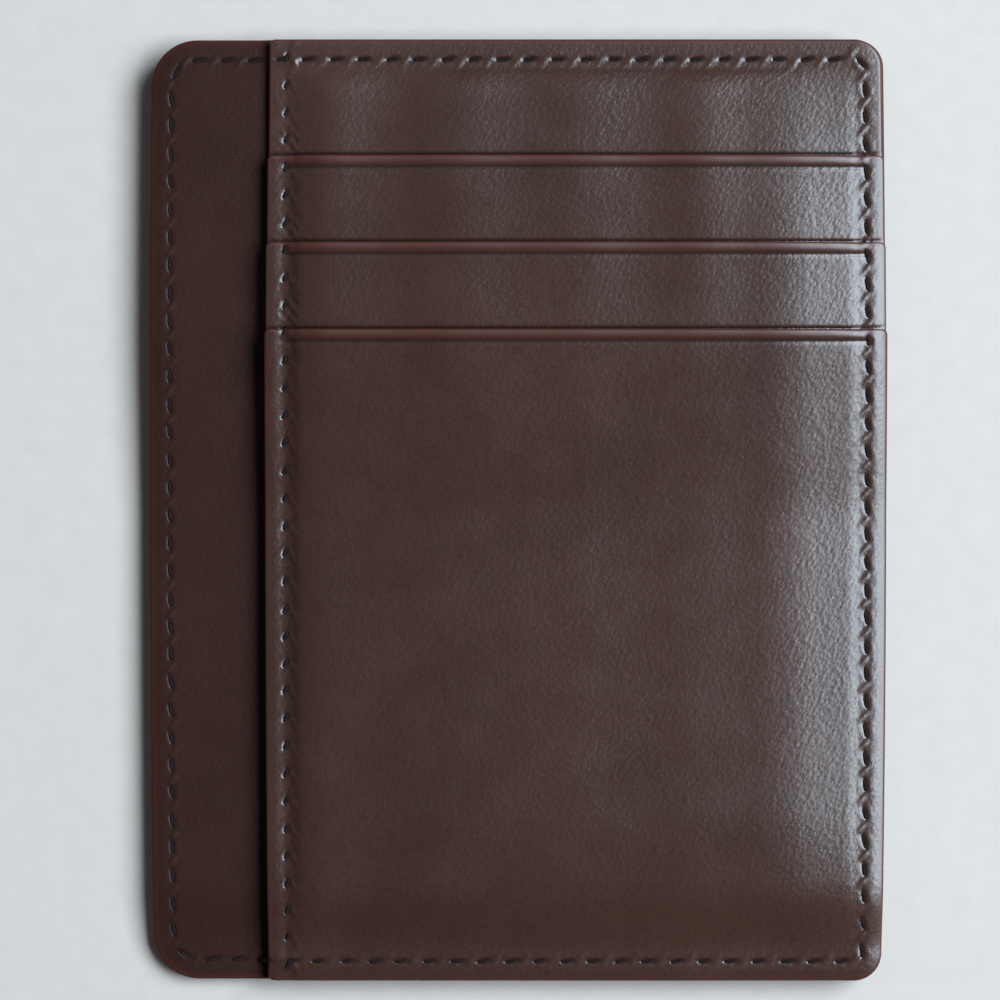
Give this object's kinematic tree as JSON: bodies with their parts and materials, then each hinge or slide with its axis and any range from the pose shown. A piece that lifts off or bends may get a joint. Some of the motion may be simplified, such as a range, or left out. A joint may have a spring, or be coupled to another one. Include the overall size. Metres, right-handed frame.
{
  "type": "slim card wallet",
  "caption": "Slim front-pocket leather card wallet with stepped card slots, a side-opening cash pocket and a window pocket on the back.",
  "frame": {"origin": "centre of the wallet's outline, on the surface it lies on, back side down", "axes": "+X across the wallet, away from the cash pocket's mouth; +Y up its length, towards the slot edges; +Z out of its front face"},
  "size_m": [0.081, 0.1036, 0.0065],
  "materials": {
    "leather": "satin, fine pebble grain, painted edges",
    "facing_leather": "satin, fine grain",
    "textile": "matte twill",
    "foil": "brushed",
    "film": "clear, slightly wavy",
    "thread": "waxed"
  },
  "bodies": {
    "root": {"back_window_frame": "leather", "back_window_film": "film", "back_window_needle_thread": "thread", "back_window_bobbin_thread": "thread", "back_slot_2_facing": "leather", "back_slot_2_liner": "textile", "back_slot_1_facing": "leather", "back_slot_1_liner": "textile", "back_slot_1_bottom_thread": "thread", "back_panel": "leather", "back_shield": "foil", "back_lining": "facing_leather", "back_side_needle_thread": "thread", "back_side_bobbin_thread": "thread", "perimeter_needle_thread": "thread", "perimeter_bobbin_thread": "thread", "front_lining": "textile", "front_shield": "foil", "front_panel": "leather", "front_slot_1_liner": "textile", "front_slot_1_bottom_thread": "thread", "front_slot_1_facing": "leather", "front_slot_2_liner": "textile", "front_slot_2_facing": "leather", "front_slot_3_liner": "textile", "front_slot_3_panel": "leather", "front_side_needle_thread": "thread", "front_side_bobbin_thread": "thread"}
  },
  "joints": []
}
